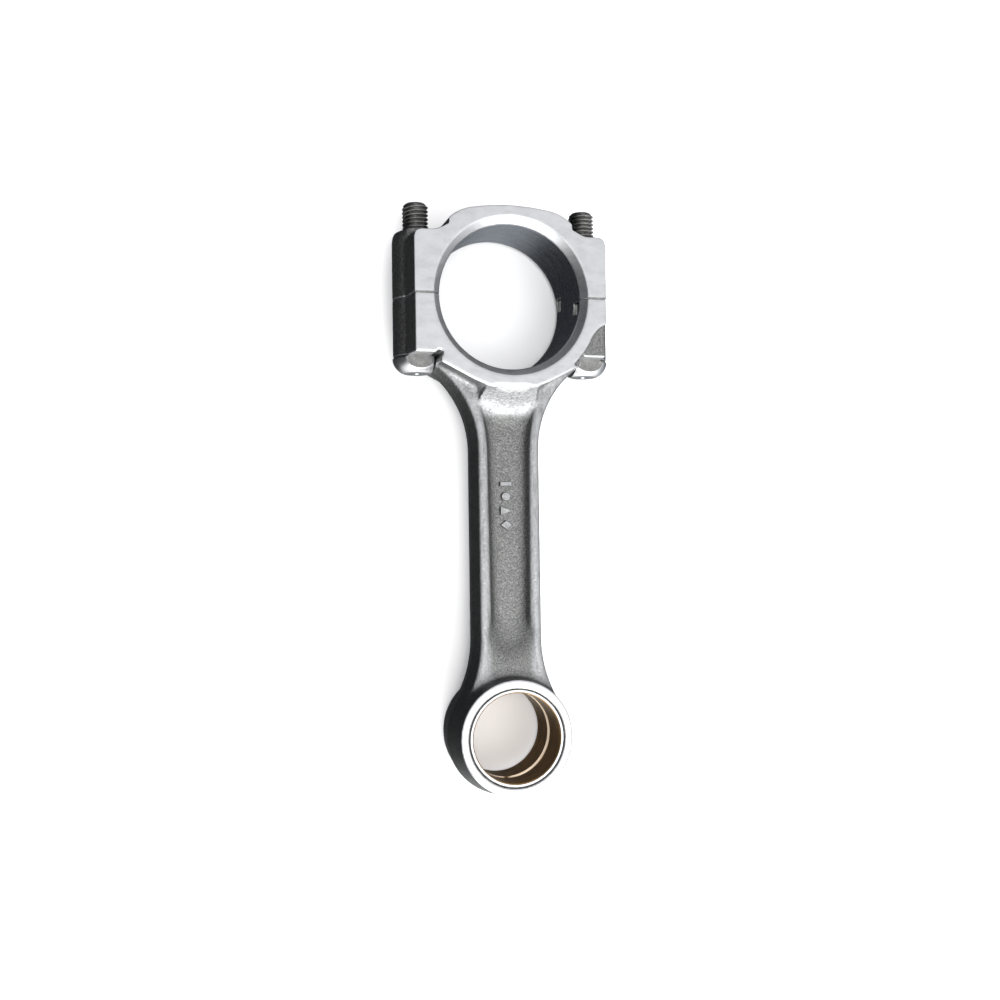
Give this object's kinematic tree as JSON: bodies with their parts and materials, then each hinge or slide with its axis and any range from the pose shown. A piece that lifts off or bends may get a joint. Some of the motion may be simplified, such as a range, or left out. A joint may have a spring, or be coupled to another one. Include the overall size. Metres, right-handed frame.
{
  "type": "connecting rod",
  "caption": "Forged I-beam connecting rod with a straight-split bolted big end, loose cap, keyed fit bolts and a bushed small end with an oil groove.",
  "frame": {"origin": "centre of the big-end bore, halfway through its width", "axes": "+Z along the bores and out of the front face, +Y from the small end towards the cap, bolts parallel to Y"},
  "size_m": [0.085, 0.2251, 0.034],
  "materials": {
    "forged_steel": "shot-peened forging with ground faces and bores",
    "cap_steel": "shot-peened forging with ground faces and bores",
    "bolt_steel": "black oxide",
    "bronze": "fine-bored bearing bronze"
  },
  "bodies": {
    "rod": {"rod_body": "forged_steel", "small_end_bush": "bronze"},
    "cap": {"bearing_cap": "cap_steel"},
    "left_bolt": {"bolt_left": "bolt_steel"},
    "right_bolt": {"bolt_right": "bolt_steel"}
  },
  "joints": [
    {"name": "cap_lift", "type": "slide", "parent": "rod", "child": "cap", "axis": [0, 1, 0], "range_m": [0, 0.042]},
    {"name": "left_bolt_withdraw", "type": "slide", "parent": "rod", "child": "left_bolt", "axis": [0, -1, 0], "range_m": [0, 0.062]},
    {"name": "right_bolt_withdraw", "type": "slide", "parent": "rod", "child": "right_bolt", "axis": [0, -1, 0], "range_m": [0, 0.062]}
  ]
}
